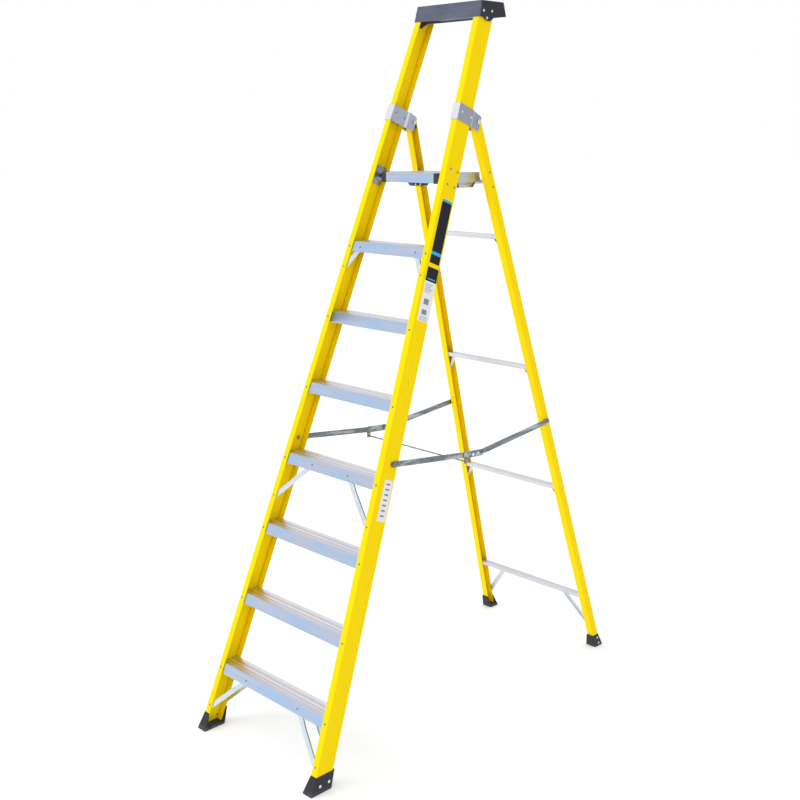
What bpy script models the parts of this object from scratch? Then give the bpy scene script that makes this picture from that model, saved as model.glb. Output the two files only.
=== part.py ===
"""Platform step ladder: glass-fibre stiles, aluminium treads, folding rear frame.

Units are metres, +Z is up and the user climbs from -Y. The origin is on the floor,
midway between the front and rear feet. Front and rear rails are leaning channels, so
most pieces are laid out in rail coordinates: inset (inwards from the outer web face),
depth (away from the rail's outer flange) and run (distance along the rail).
"""
import math

import bmesh
import bpy
from mathutils import Vector

# Driving dimensions ------------------------------------------------------------------
STEP_RISE = 0.250
FIRST_TREAD_TOP = 0.2373
TREAD_COUNT = 7
PLATFORM_TOP = 1.9815
HALF_SPREAD = 0.8063
GAP = 0.0003
HEAD_GAP = 0.0009

FRONT_SLOPE = 0.3779
FRONT_HALF_WIDTH = 0.3158
FRONT_TAPER = 0.0645
FRONT_DEPTH = 0.0695
FRONT_FLANGE = 0.0258
FRONT_WALL = 0.0035
FRONT_TOP = 2.508

REAR_SLOPE = 0.308
REAR_HALF_WIDTH = 0.3101
REAR_TAPER = 0.064
REAR_DEPTH = 0.0349
REAR_FLANGE = 0.027
REAR_WALL = 0.003

FOOT_SOLE = 0.010
# How far a boot stands proud of its stile: outer side, inner side, near and far faces.
FOOT_TOP_MARGINS = (0.0015, 0.0030, 0.0015, 0.0060)
FOOT_FLOOR_MARGINS = (0.0050, 0.0160, 0.0090, 0.0070)

HINGE = (0.1240, 2.156)
HINGE_CLEARANCE = 0.0016
HINGE_SHEET = 0.003
STAY_FRONT_PIVOT = (-0.3704, 1.0294)
STAY_BEND = (-0.0013, 0.9900)
STAY_ELBOW = (0.0777, 0.9840)
STAY_REAR_PIVOT = (0.4732, 1.0286)
PLATFORM_PIVOT = (-0.0130, 1.9665)
SPIGOT_RADIUS = 0.0072
REST_TUBE = (0.1820, 1.9480)

TREAD_DROP = 0.037
TREAD_WALL = 0.0022
BAR_WALL = 0.0020
STRIP_WIDTH = 0.018
STRIP_SHEET = 0.0020
STRIP_LIP = 0.0045

BOLT_RADIUS = 0.004
BOLT_HOLE = BOLT_RADIUS + GAP
SEGMENTS = 20


# Scene helpers -----------------------------------------------------------------------
def clear_scene():
    for obj in list(bpy.data.objects):
        bpy.data.objects.remove(obj, do_unlink=True)


def make_material(name, colour, roughness, metallic):
    material = bpy.data.materials.new(name)
    material.use_nodes = True
    shader = material.node_tree.nodes["Principled BSDF"]
    shader.inputs["Base Color"].default_value = (*colour, 1.0)
    shader.inputs["Roughness"].default_value = roughness
    shader.inputs["Metallic"].default_value = metallic
    return material


def object_from_bmesh(name, bm, material, smooth=False):
    bmesh.ops.recalc_face_normals(bm, faces=bm.faces)
    mesh = bpy.data.meshes.new(name)
    bm.to_mesh(mesh)
    bm.free()
    mesh.materials.append(material)
    if smooth:
        mesh.shade_smooth()
        mesh.set_sharp_from_angle(angle=math.radians(35))
    obj = bpy.data.objects.new(name, mesh)
    bpy.context.scene.collection.objects.link(obj)
    return obj


def loft(name, rings, material, smooth=False):
    """Closed solid through rings that all have the same number of points."""
    bm = bmesh.new()
    loops = [[bm.verts.new(point) for point in ring] for ring in rings]
    count = len(rings[0])
    for lower, upper in zip(loops, loops[1:]):
        for i in range(count):
            j = (i + 1) % count
            bm.faces.new((lower[i], lower[j], upper[j], upper[i]))
    bm.faces.new(loops[0])
    bm.faces.new(loops[-1])
    return object_from_bmesh(name, bm, material, smooth)


def boolean(target, tool, operation):
    """Apply one exact boolean to target and drop the tool."""
    modifier = target.modifiers.new(operation, "BOOLEAN")
    modifier.operation = operation
    modifier.solver = "EXACT"
    modifier.object = tool
    graph = bpy.context.evaluated_depsgraph_get()
    evaluated = target.evaluated_get(graph)
    mesh = bpy.data.meshes.new_from_object(evaluated, depsgraph=graph)
    target.modifiers.clear()
    target.data = mesh
    bpy.data.objects.remove(tool, do_unlink=True)
    return target


def cut(target, tool):
    return boolean(target, tool, "DIFFERENCE")


def join(target, tool):
    return boolean(target, tool, "UNION")


# Plane geometry ----------------------------------------------------------------------
def circle(centre, radius, segments=SEGMENTS):
    return [
        (
            centre[0] + radius * math.cos(2 * math.pi * i / segments),
            centre[1] + radius * math.sin(2 * math.pi * i / segments),
        )
        for i in range(segments)
    ]


def arc(centre, radius, start, end, steps):
    """Points on an arc between two angles in degrees, both ends included."""
    return [
        (
            centre[0] + radius * math.cos(math.radians(start + (end - start) * i / steps)),
            centre[1] + radius * math.sin(math.radians(start + (end - start) * i / steps)),
        )
        for i in range(steps + 1)
    ]


def strap_outline(start, end, width, end_steps=8):
    """Strip with round ends whose centres are the start and end points."""
    heading = math.degrees(math.atan2(end[1] - start[1], end[0] - start[0]))
    radius = width / 2
    far = arc(end, radius, heading - 90, heading + 90, end_steps)
    near = arc(start, radius, heading + 90, heading + 270, end_steps)
    return far + near


def channel_outline(flange, depth, wall, corner=0.003):
    """Channel section as (inset, depth) points, web at inset 0, open inwards."""
    outer_far = arc((corner, depth - corner), corner, 180, 90, 3)
    outer_near = arc((corner, corner), corner, 270, 180, 3)
    inner = [(flange, depth - wall), (wall, depth - wall), (wall, wall), (flange, wall)]
    return [(flange, 0.0)] + outer_near + outer_far + [(flange, depth)] + inner


# Rail coordinates --------------------------------------------------------------------
class Rail:
    """Leaning pair of stiles; facing is +1 for the front pair and -1 for the rear."""

    def __init__(self, facing, slope, half_width, taper):
        self.facing = facing
        self.lean = math.atan(slope)
        self.half_width = half_width
        self.taper = taper

    def point(self, side, inset, depth, run):
        y = -HALF_SPREAD + run * math.sin(self.lean) + depth * math.cos(self.lean)
        z = run * math.cos(self.lean) - depth * math.sin(self.lean)
        x = side * (self.half_width - self.taper * z - inset)
        return Vector((x, self.facing * y, z))

    def run_at(self, height, depth=0.0):
        return (height + depth * math.sin(self.lean)) / math.cos(self.lean)

    def locate(self, y, z):
        """Depth and run of a point given in the side view."""
        across = self.facing * y + HALF_SPREAD
        depth = across * math.cos(self.lean) - z * math.sin(self.lean)
        run = across * math.sin(self.lean) + z * math.cos(self.lean)
        return depth, run

    def half_width_at(self, height):
        return self.half_width - self.taper * height

    def level_prism(self, name, side, outline, low, high, material):
        """Section (inset, depth) swept along the rail between two level cuts."""
        rings = [
            [self.point(side, i, d, self.run_at(height, d)) for i, d in outline]
            for height in (low, high)
        ]
        return loft(name, rings, material)

    def square_prism(self, name, side, outline, start, end, material):
        """Section (inset, depth) swept along the rail between two square cuts."""
        rings = [[self.point(side, i, d, run) for i, d in outline] for run in (start, end)]
        return loft(name, rings, material)

    def plate(self, name, side, outline, inset_from, inset_to, material):
        """Outline (depth, run) thickened across the rail."""
        rings = [[self.point(side, i, d, r) for d, r in outline] for i in (inset_from, inset_to)]
        return loft(name, rings, material)

    def crossbar(self, name, outline, inset, material):
        """Section (depth, run) swept from one stile to the other."""
        rings = [[self.point(side, inset, d, r) for d, r in outline] for side in (-1, 1)]
        return loft(name, rings, material)


FRONT = Rail(1, FRONT_SLOPE, FRONT_HALF_WIDTH, FRONT_TAPER)
REAR = Rail(-1, REAR_SLOPE, REAR_HALF_WIDTH, REAR_TAPER)
SIDES = ((-1, "left"), (1, "right"))


def slab(name, outline, x_from, x_to, material, smooth=False):
    """Side-view outline (y, z) thickened along X."""
    rings = [[(x, y, z) for y, z in outline] for x in (x_from, x_to)]
    return loft(name, rings, material, smooth)


def pin(name, centre, radius, x_from, x_to, material, segments=SEGMENTS):
    return slab(name, circle(centre, radius, segments), x_from, x_to, material, smooth=True)


def headed_pin(name, centre, side, stations, material):
    """Turned pin along X; stations are (distance from the mid-plane, radius)."""
    rings = []
    for distance, radius in stations:
        rings.append([(side * distance, y, z) for y, z in circle(centre, radius)])
    return loft(name, rings, material, smooth=True)


def bore(target, centre, radius, side, near, far):
    tool = pin("bore", centre, radius, side * near, side * far, target.data.materials[0])
    return cut(target, tool)


# Front frame -------------------------------------------------------------------------
def build_front_stile(side, label, material):
    outline = channel_outline(FRONT_FLANGE, FRONT_DEPTH, FRONT_WALL)
    low = FOOT_SOLE + GAP
    stile = FRONT.level_prism(f"front_stile_{label}", side, outline, low, FRONT_TOP, material)
    web = FRONT.half_width_at(STAY_FRONT_PIVOT[1])
    return bore(stile, STAY_FRONT_PIVOT, BOLT_HOLE, side, web - 0.010, web + 0.010)


def ribbed_section(span, top, drops, wall, grooves, groove_width, rib_height):
    """Inverted channel as (depth, height) points, with grooves along its top.

    span is the depth from front to back, drops the two skirts' heights, and grooves the
    places of the grooves as shares of the span.
    """
    near, far = span
    near_drop, far_drop = drops
    points = [(near, top - near_drop), (near, top)]
    for share in grooves:
        middle = near + (far - near) * share
        half = groove_width / 2
        points += [
            (middle - half, top),
            (middle - half, top - rib_height),
            (middle + half, top - rib_height),
            (middle + half, top),
        ]
    under = top - rib_height - wall
    points += [(far, top), (far, top - far_drop), (far - wall, top - far_drop)]
    points += [(far - wall, under), (near + wall, under), (near + wall, top - near_drop)]
    return points


def build_tread(index, material):
    near = FRONT_WALL + GAP
    far = FRONT_DEPTH - FRONT_WALL - GAP
    drops = (TREAD_DROP, TREAD_DROP)
    section = ribbed_section((near, far), 0.0, drops, TREAD_WALL, (0.12, 0.33, 0.67), 0.0030, 0.0014)
    top = FIRST_TREAD_TOP + STEP_RISE * index
    outline = [(depth, FRONT.run_at(top + below, depth)) for depth, below in section]
    return FRONT.crossbar(f"tread_{index + 1}", outline, FRONT_WALL + GAP, material)


def bent_strip(name, rail, side, stations, facing, material):
    """Folded strip through stations (distance from the mid-plane, height, depth).

    Its flat face lies at the stations' depth and its two lips point along facing.
    """
    first, last = stations[0], stations[-1]
    run = Vector((last[0] - first[0], last[1] - first[1])).normalized()
    across = Vector((-run.y, run.x))
    half = STRIP_WIDTH / 2
    inner = half - STRIP_SHEET
    profile = (
        (-half, 0.0), (half, 0.0), (half, STRIP_LIP), (inner, STRIP_LIP),
        (inner, STRIP_SHEET), (-inner, STRIP_SHEET), (-inner, STRIP_LIP), (-half, STRIP_LIP),
    )
    rings = []
    for distance, height, depth in stations:
        ring = []
        for offset, rise in profile:
            z = height + offset * across.y
            d = depth + facing * rise
            point = rail.point(side, 0.0, d, rail.run_at(z, d))
            point.x = side * (distance + offset * across.x)
            ring.append(point)
        rings.append(ring)
    return loft(name, rings, material)


def build_tread_brace(name, side, upper, lower, near_depth, material):
    """Brace from behind a tread's skirt out to the inner face of the flange."""
    behind_skirt = TREAD_WALL + GAP
    bend_height = upper[1] - 0.032
    share = (upper[1] - bend_height) / (upper[1] - lower[1])
    bend = (upper[0] + (lower[0] - upper[0]) * share, bend_height)
    knee_share = min(share + 0.12, 0.9)
    knee = (
        upper[0] + (lower[0] - upper[0]) * knee_share,
        upper[1] + (lower[1] - upper[1]) * knee_share,
    )
    facing = 1 if near_depth < FRONT_DEPTH / 2 else -1
    tucked = near_depth + facing * behind_skirt
    stations = [(*upper, tucked), (*bend, tucked), (*knee, near_depth), (*lower, near_depth)]
    return bent_strip(name, FRONT, side, stations, facing, material)


def build_tread_braces(material):
    near = FRONT_WALL + GAP
    far = FRONT_DEPTH - FRONT_WALL - GAP
    layouts = (
        ("tread_brace_1_front", near, (0.142, 0.2175), (0.286, 0.085)),
        ("tread_brace_1_rear", far, (0.142, 0.2175), (0.286, 0.085)),
        ("tread_brace_4", near, (0.094, 0.9690), (0.240, 0.835)),
        ("tread_brace_7", near, (0.139, 1.7180), (0.190, 1.647)),
    )
    for stem, depth, upper, lower in layouts:
        for side, label in SIDES:
            build_tread_brace(f"{stem}_{label}", side, upper, lower, depth, material)


def build_hinge_bracket(side, label, material):
    """Pressed bracket wrapped round the stile, its cheeks set inwards behind it."""
    sheet = HINGE_SHEET
    outer = -GAP
    inner = FRONT_FLANGE + GAP
    set_out = FRONT.half_width_at(HINGE[1]) - REAR.half_width_at(HINGE[1])
    joggled_outer = set_out - HINGE_CLEARANCE
    joggled_inner = set_out + REAR_FLANGE + HINGE_CLEARANCE
    joggle_from = FRONT_DEPTH + 0.0025
    joggle_to = joggle_from + 0.005
    tip = 0.117
    outline = [
        (outer - sheet, -GAP - sheet),
        (outer - sheet, joggle_from),
        (joggled_outer - sheet, joggle_to),
        (joggled_outer - sheet, tip),
        (joggled_outer, tip),
        (joggled_outer, joggle_to),
        (outer, joggle_from),
        (outer, -GAP),
        (inner, -GAP),
        (inner, joggle_from),
        (joggled_inner, joggle_to),
        (joggled_inner, tip),
        (joggled_inner + sheet, tip),
        (joggled_inner + sheet, joggle_to),
        (inner + sheet, joggle_from),
        (inner + sheet, -GAP - sheet),
    ]
    middle = FRONT.run_at(2.1905, 0.002)
    half = 0.029
    name = f"hinge_bracket_{label}"
    bracket = FRONT.square_prism(name, side, outline, middle - half, middle + half, material)
    radius = 0.005
    fall = 0.006
    low, high = middle - half, middle + half
    silhouette = [(-0.010, high + 0.001), (-0.010, low - 0.001), (tip - radius, low - 0.001)]
    silhouette += arc((tip - radius, low + radius), radius, 270, 360, 4)
    silhouette += arc((tip - radius, high - fall - radius), radius, 0, 80, 4)
    silhouette += [(joggle_to, high), (joggle_to, high + 0.001)]
    tool = FRONT.plate("silhouette", side, silhouette, -0.02, 0.06, material)
    bracket = boolean(bracket, tool, "INTERSECT")
    return bore(bracket, HINGE, BOLT_HOLE, side, 0.10, 0.20)


def build_hinge_bolt(side, label, material):
    web = FRONT.half_width_at(HINGE[1])
    set_out = web - REAR.half_width_at(HINGE[1])
    cheek = HINGE_CLEARANCE + HINGE_SHEET + HEAD_GAP
    outside = web - set_out + cheek
    inside = web - set_out - REAR_FLANGE - cheek
    head = 0.008
    stations = (
        (inside - 0.0045, 0.0055),
        (inside - 0.0035, 0.0065),
        (inside, 0.0065),
        (inside, BOLT_RADIUS),
        (outside, BOLT_RADIUS),
        (outside, head),
        (outside + 0.0015, head),
        (outside + 0.0035, head * 0.72),
    )
    return headed_pin(f"hinge_bolt_{label}", HINGE, side, stations, material)


def build_top_tray(material):
    """Moulded cap tray: tapered box with a recess, and end lugs over the stile tops."""
    low, high = FRONT_TOP + GAP, 2.5630
    bottom = (0.1405, 0.2845, 0.1605)
    top = (0.1532, 0.2722, 0.1565)
    corner = 0.006

    def ring(spec, height, shrink=0.0):
        y0, y1, x1 = spec[0] + shrink, spec[1] - shrink, spec[2] - shrink
        points = []
        for cx, cy, start in (
            (x1 - corner, y1 - corner, 0),
            (-x1 + corner, y1 - corner, 90),
            (-x1 + corner, y0 + corner, 180),
            (x1 - corner, y0 + corner, 270),
        ):
            points += [(x, y, height) for x, y in arc((cx, cy), corner, start, start + 90, 3)]
        return points

    wall = 0.0045
    tray = loft("top_tray", [ring(bottom, low), ring(top, high)], material)
    floor = high - 0.038
    recess = [ring(top, floor, wall + 0.003), ring(top, high + 0.001, wall)]
    tray = cut(tray, loft("recess", recess, material))
    hollow = [ring(bottom, low - 0.001, wall), ring(bottom, floor - 0.004, wall + 0.002)]
    tray = cut(tray, loft("underside", hollow, material))
    lug_y, lug_z, lug_radius = 0.1856, 2.5290, 0.034
    knee = lug_y + lug_radius
    rear_rise = [(knee, low - 0.002), (0.2920, low - 0.002), (0.2920, low + 0.0085), (knee, low)]
    tray = cut(tray, slab("rear_rise", rear_rise, -0.2, 0.2, material))
    rest = FRONT_TOP + 0.012
    for side in (-1, 1):
        web = FRONT.half_width_at(FRONT_TOP)
        lug = arc((lug_y, lug_z), lug_radius, 180, 360, 14)
        lug += [(knee, rest + 0.022), (lug_y - lug_radius, rest + 0.022)]
        tray = join(tray, slab("lug", lug, side * (web + 0.0015), side * 0.1600, material))
        key_x = web - FRONT_WALL - 0.0013
        key = [(0.150, rest + 0.006), (0.150, 2.503), (0.165, 2.487), (0.198, 2.506)]
        key.append((0.198, rest + 0.006))
        tray = join(tray, slab("key", key, side * (key_x - 0.004), side * key_x, material))
    return tray


def build_platform_pivot_bracket(side, label, material):
    """Pressed plate on the inside of the web, with a raised pad round the spigot."""
    depth, run = FRONT.locate(*PLATFORM_PIVOT)
    inset = FRONT_WALL + GAP
    near, far = 0.0068, 0.0640
    top = run + 0.034
    foot = run - 0.035
    pad_foot = run - 0.0185
    plate = [(near, foot), (far - 0.003, foot), (far, foot + 0.003), (far, top), (near, top)]
    name = f"platform_pivot_bracket_{label}"
    bracket = FRONT.plate(name, side, plate, inset, inset + 0.003, material)
    margin = 0.0005
    pad = [(near + margin, pad_foot), (far - margin, pad_foot), (far - margin, top - margin)]
    pad.append((near + margin, top - margin))
    bracket = join(bracket, FRONT.plate("pad", side, pad, inset + 0.001, inset + 0.0085, material))
    boss = circle((depth, run), SPIGOT_RADIUS + 0.0032)
    tool = FRONT.plate("boss", side, boss, inset + 0.001, inset + 0.0100, material)
    bracket = join(bracket, tool)
    web = FRONT.half_width_at(PLATFORM_PIVOT[1])
    return bore(bracket, PLATFORM_PIVOT, SPIGOT_RADIUS + GAP, side, web - 0.05, web + 0.01)


def build_foot(rail, side, label, stem, sizes, material):
    """Moulded boot, open on the inner side, that flares straight down to its sole.

    sizes are the stile's flange and depth, and the boot's height.
    """
    flange, depth, height = sizes
    cosine = math.cos(rail.lean)
    corner = 0.004
    lip = 0.001

    def ring(z, margins, tuck):
        outer, inner, near, far = (margin - tuck for margin in margins)
        far_depth = depth + far * cosine
        near_depth = -near * cosine
        outline = arc((flange + inner - corner, far_depth - corner), corner, 0, 90, 3)
        outline += arc((corner - outer, far_depth - corner), corner, 90, 180, 3)
        outline += arc((corner - outer, near_depth + corner), corner, 180, 270, 3)
        outline += arc((flange + inner - corner, near_depth + corner), corner, 270, 360, 3)
        return [rail.point(side, i, d, rail.run_at(z, d)) for i, d in outline]

    rings = [
        ring(0.0, FOOT_FLOOR_MARGINS, lip),
        ring(0.002, FOOT_FLOOR_MARGINS, 0.0),
        ring(height, FOOT_TOP_MARGINS, 0.0),
    ]
    boot = loft(f"{stem}_{label}", rings, material)
    open_side = flange + 0.030
    pocket = [(-GAP, -GAP), (open_side, -GAP), (open_side, depth + GAP), (-GAP, depth + GAP)]
    tool = rail.level_prism("pocket", side, pocket, FOOT_SOLE, height + 0.01, material)
    return cut(boot, tool)


# Rear frame --------------------------------------------------------------------------
def build_rear_stile(side, label, material):
    outline = channel_outline(REAR_FLANGE, REAR_DEPTH, REAR_WALL, 0.0025)
    low = FOOT_SOLE + GAP
    _, pivot_run = REAR.locate(*HINGE)
    top_run = pivot_run + 0.0155

    bottom = [REAR.point(side, i, d, REAR.run_at(low, d)) for i, d in outline]
    top = [REAR.point(side, i, d, top_run) for i, d in outline]
    stile = loft(f"rear_stile_{label}", [bottom, top], material)
    web = REAR.half_width_at(HINGE[1])
    return bore(stile, HINGE, BOLT_HOLE, side, web - 0.010, web + 0.010)


def build_stile_plug(side, label, material):
    _, pivot_run = REAR.locate(*HINGE)
    wall = REAR_WALL + GAP
    near, far = wall, REAR_DEPTH - wall
    outline = [(wall, near), (REAR_FLANGE, near), (REAR_FLANGE, far), (wall, far)]
    name = f"rear_stile_plug_{label}"
    start, end = pivot_run - 0.024, pivot_run + 0.0155
    plug = REAR.square_prism(name, side, outline, start, end, material)
    cap = [(0.0, 0.0), (REAR_FLANGE, 0.0), (REAR_FLANGE, REAR_DEPTH), (0.0, REAR_DEPTH)]
    tool = REAR.square_prism("cap", side, cap, end + GAP, end + 0.0025, material)
    plug = join(plug, REAR.square_prism("neck", side, outline, end - 0.002, end + 0.001, material))
    plug = join(plug, tool)
    return bore(plug, HINGE, BOLT_HOLE, side, 0.10, 0.20)


def back_bar_section(top, wall):
    near = REAR_WALL + GAP
    far = REAR_DEPTH - REAR_WALL - GAP
    section = [
        (near, -0.021), (near, 0.0), (far, 0.0), (far, -0.016),
        (far - wall, -0.016), (far - wall, -wall), (near + wall, -wall), (near + wall, -0.021),
    ]
    return [(depth, REAR.run_at(top + below, depth)) for depth, below in section]


def build_back_bar(index, top, material):
    outline = back_bar_section(top, BAR_WALL)
    bar = REAR.crossbar(f"back_bar_{index}", outline, REAR_WALL + GAP, material)
    if index == 1:
        return bar
    middle = REAR_DEPTH / 2
    width = 0.017
    for side in (-1, 1):
        web = REAR.half_width_at(top) - REAR_WALL
        upper = (web - 0.052, top - 0.0012)
        lower = (REAR.half_width_at(top - 0.082) - 0.0085, top - 0.082)
        near, far = middle - width / 2, middle + width / 2
        bar = join(bar, knee_strip(side, upper, lower, near, far, material))
    return bar


def knee_strip(side, upper, lower, near, far, material):
    """Short folded strip below a bar: wide face across the rail, with one edge lip."""
    thickness = 0.0020
    run = Vector((lower[0] - upper[0], lower[1] - upper[1])).normalized()
    normal = Vector((-run.y, run.x)) * thickness
    lip = normal * 3.0
    rings = []
    for distance, height in (upper, lower):
        profile = (
            (near, 0.0, 0.0), (far, 0.0, 0.0), (far, normal.x, normal.y),
            (near + thickness, normal.x, normal.y),
            (near + thickness, lip.x, lip.y), (near, lip.x, lip.y),
        )
        ring = []
        for depth, dx, dz in profile:
            z = height + dz
            point = REAR.point(side, 0.0, depth, REAR.run_at(z, depth))
            point.x = side * (distance + dx)
            ring.append(point)
        rings.append(ring)
    return loft("knee", rings, material)


def build_bottom_brace(side, label, material):
    near = REAR_WALL + GAP + BAR_WALL + GAP
    stations = [(0.160, 0.232, near), (0.2745, 0.088, near)]
    return bent_strip(f"bottom_brace_{label}", REAR, side, stations, 1, material)


def build_rest_bracket(side, label, material):
    run = REAR.locate(*REST_TUBE)[1]
    inset = REAR_WALL + GAP
    near, far = 0.0045, 0.0304
    low, high = run - 0.034, run + 0.040
    outline = [(near, low), (far, low), (far, high), (near, high)]
    bracket = REAR.plate(f"rest_bracket_{label}", side, outline, inset, inset + 0.0025, material)
    web = REAR.half_width_at(REST_TUBE[1])
    return bore(bracket, REST_TUBE, 0.0083, side, web - 0.02, web)


def build_rest_tube(material):
    half = REAR.half_width_at(REST_TUBE[1]) - REAR_WALL - HEAD_GAP
    tube = pin("platform_rest_tube", REST_TUBE, 0.008, -half, half, material, 24)
    tool = pin("tube_bore", REST_TUBE, 0.0064, -half - 0.01, half + 0.01, material, 24)
    return cut(tube, tool)


# Platform ----------------------------------------------------------------------------
PLATFORM_FRONT = -0.0423
PLATFORM_REAR = 0.1735
PLATFORM_DROP = 0.0345
REAR_DROP = 0.018
DECK_SHEET = 0.0026
DECK_GROOVE = 0.0016
FRONT_HALF = 0.1185
PLATFORM_HALF = 0.1400
SIDE_SHEET = 0.0035
CAP_LIP = 0.0048
CAP_REAR = 0.0030


def build_platform_deck(material):
    """Ribbed deck whose front corners are cut away for the end caps."""
    count = 15
    grooves = [i / (count + 1) for i in range(1, count + 1)]
    section = ribbed_section(
        (PLATFORM_FRONT, PLATFORM_REAR), PLATFORM_TOP, (PLATFORM_DROP, REAR_DROP),
        DECK_SHEET, grooves, 0.0050, DECK_GROOVE,
    )
    half = PLATFORM_HALF - SIDE_SHEET - GAP
    deck = slab("platform_deck", section, -half, half, material)
    low, high = PLATFORM_TOP - 0.05, PLATFORM_TOP + 0.01
    front, rear = PLATFORM_FRONT - 0.01, CAP_REAR + GAP
    corner = [(front, low), (rear, low), (rear, high), (front, high)]
    for side in (-1, 1):
        deck = cut(deck, slab("corner", corner, side * FRONT_HALF, side * (half + 0.01), material))
    return deck


def build_platform_side(side, label, material):
    high = PLATFORM_TOP - 0.0004
    low = PLATFORM_TOP - PLATFORM_DROP
    front = PLATFORM_FRONT - 0.001 + CAP_LIP + GAP
    outline = [
        (front, low), (PLATFORM_REAR - 0.004, low), (PLATFORM_REAR, low + 0.004),
        (PLATFORM_REAR, high), (front, high),
    ]
    near, far = PLATFORM_HALF - SIDE_SHEET, PLATFORM_HALF
    plate = slab(f"platform_side_{label}", outline, side * near, side * far, material)
    return bore(plate, PLATFORM_PIVOT, SPIGOT_RADIUS + GAP, side, near - 0.01, far + 0.01)


def build_platform_end_cap(side, label, material):
    """Moulded front corner with the spigot that the platform turns on."""
    front = PLATFORM_FRONT - 0.001
    high = PLATFORM_TOP + 0.0005
    low = PLATFORM_TOP - PLATFORM_DROP - 0.0015
    radius = 0.005
    nose = arc((front + radius, high - radius), radius, 180, 90, 4)
    body = nose + [(CAP_REAR, high), (CAP_REAR, low), (front + 0.002, low), (front, low + 0.002)]
    lip = [(front, high - radius), (front + radius * 0.3, high - radius * 0.3)]
    lip += [(front + CAP_LIP, high), (front + CAP_LIP, low), (front + 0.002, low)]
    lip.append((front, low + 0.002))
    near = FRONT_HALF + GAP
    inner = PLATFORM_HALF - SIDE_SHEET - GAP
    cap = slab(f"platform_end_cap_{label}", body, side * near, side * inner, material)
    cap = join(cap, slab("lip", lip, side * (inner - 0.002), side * PLATFORM_HALF, material))
    web = FRONT.half_width_at(PLATFORM_PIVOT[1]) - FRONT_WALL - HEAD_GAP
    start = side * (inner - 0.004)
    return join(cap, pin("spigot", PLATFORM_PIVOT, SPIGOT_RADIUS, start, side * web, material, 24))


def build_platform_hook(side, label, material):
    """Block under the deck whose notch drops over the rest tube."""
    high = PLATFORM_TOP - DECK_GROOVE - DECK_SHEET - GAP
    low = 1.9285
    y, z = REST_TUBE
    seat = 0.0083
    outline = [(0.0760, high), (0.0760, low + 0.010), (0.0860, low), (0.1560, low)]
    outline.append((y - seat * math.cos(math.radians(30)), z + seat * math.sin(math.radians(30))))
    outline += arc((y, z), seat, 140, 0, 8)
    outline += [(y + seat, z - 0.006), (y + seat + 0.003, z - 0.009), (y + seat + 0.006, z - 0.004)]
    shoulder = PLATFORM_TOP - REAR_DROP - 0.0015
    behind_skirt = PLATFORM_REAR - DECK_SHEET - GAP
    outline += [(y + seat + 0.006, shoulder), (behind_skirt, shoulder), (behind_skirt, high)]
    return slab(f"platform_hook_{label}", outline, side * 0.100, side * 0.124, material)


# Folding stays -----------------------------------------------------------------------
STAY_WIDTH = 0.020
STAY_SHEET = 0.003
STAY_INNER = 0.2508
JOINT_PLATE_INNER = STAY_INNER + STAY_SHEET + GAP
JOINT_PLATE_OUTER = JOINT_PLATE_INNER + 0.0022
TIE_ROD = (-0.0080, 0.9655)


def stay_direction(start, end):
    return (Vector(end) - Vector(start)).normalized()


def build_front_stay(side, label, material):
    heading = stay_direction(STAY_FRONT_PIVOT, STAY_BEND)
    tip = Vector(STAY_BEND) + heading * 0.0005
    outline = strap_outline(STAY_FRONT_PIVOT, tip, STAY_WIDTH)
    near, far = side * STAY_INNER, side * (STAY_INNER + STAY_SHEET)
    strap = slab(f"front_stay_{label}", outline, near, far, material)
    return bore(strap, STAY_FRONT_PIVOT, BOLT_HOLE, side, 0.24, 0.26)


def build_joint_plate(side, label, material):
    """Pressed elbow plate, riveted to the front strap, with the tie rod's tab below."""
    heading = stay_direction(STAY_BEND, STAY_ELBOW)
    start = Vector(STAY_BEND) - heading * 0.006
    outline = strap_outline(start, STAY_ELBOW, 0.024)
    near, far = side * JOINT_PLATE_INNER, side * JOINT_PLATE_OUTER
    plate = slab(f"stay_joint_plate_{label}", outline, near, far, material)
    half = 0.009
    y, z = TIE_ROD
    tab = [(y - half, z), (y - half + 0.002, z - 0.0065), (y + half - 0.002, z - 0.0065)]
    tab += [(y + half, z), (y + half + 0.002, STAY_BEND[1]), (y - half, STAY_BEND[1])]
    plate = join(plate, slab("tab", tab, near, far, material))
    plate = bore(plate, STAY_ELBOW, BOLT_HOLE, side, 0.24, 0.27)
    return bore(plate, TIE_ROD, 0.0028, side, 0.24, 0.27)


def build_rear_stay(side, label, material):
    """Strap that leans in to the rear stile, with its rear rivet in one piece."""
    outline = strap_outline(STAY_ELBOW, STAY_REAR_PIVOT, STAY_WIDTH)
    stile = REAR.half_width_at(STAY_REAR_PIVOT[1])
    lean_in = STAY_INNER - (stile + 0.0018)
    length = STAY_REAR_PIVOT[0] - STAY_ELBOW[0]

    def inner_face(y):
        share = min(max((y - STAY_ELBOW[0]) / length, 0.0), 1.0)
        return STAY_INNER - lean_in * share

    rings = []
    for extra in (0.0, STAY_SHEET):
        rings.append([(side * (inner_face(y) + extra), y, z) for y, z in outline])
    strap = loft(f"rear_stay_{label}", rings, material)
    head = inner_face(STAY_REAR_PIVOT[0]) + STAY_SHEET
    stations = ((head - 0.0015, 0.007), (head + 0.001, 0.007), (head + 0.003, 0.005))
    strap = join(strap, headed_pin("rivet", STAY_REAR_PIVOT, side, stations, material))
    return bore(strap, STAY_ELBOW, BOLT_HOLE, side, 0.24, 0.27)


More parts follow.
